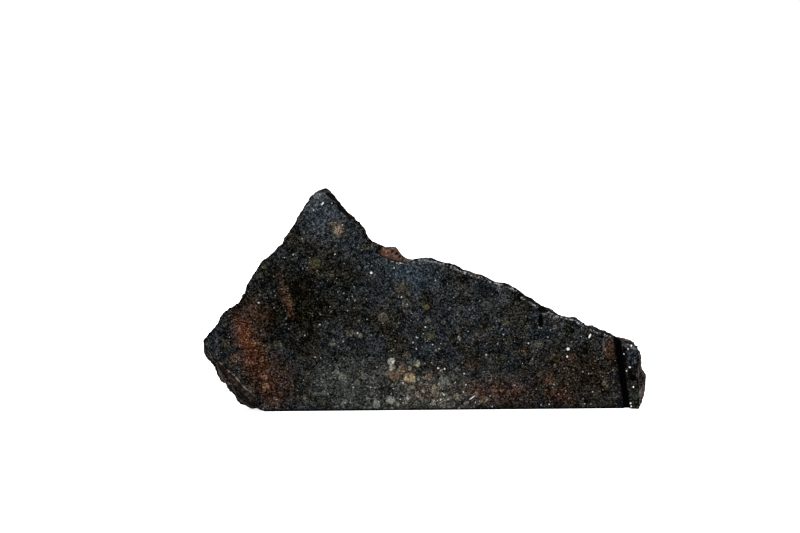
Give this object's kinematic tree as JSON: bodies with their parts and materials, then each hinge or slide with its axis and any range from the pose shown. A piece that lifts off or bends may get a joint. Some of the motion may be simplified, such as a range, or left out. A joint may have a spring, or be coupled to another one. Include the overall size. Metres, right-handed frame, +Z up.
{
  "type": "chondrite meteorite end piece",
  "caption": "Dark stone meteorite end piece with a flat lapped face, a sawn base to stand on, and natural weathered crust.",
  "frame": {"origin": "the middle of the bounding box, at the level of the sawn base", "axes": "+X along the stone, towards its low end; +Y from the lapped face to the natural back; +Z up"},
  "size_m": [0.0548, 0.0136, 0.0274],
  "materials": {
    "stone": "satin"
  },
  "bodies": {
    "root": {"meteorite": "stone"}
  },
  "joints": []
}
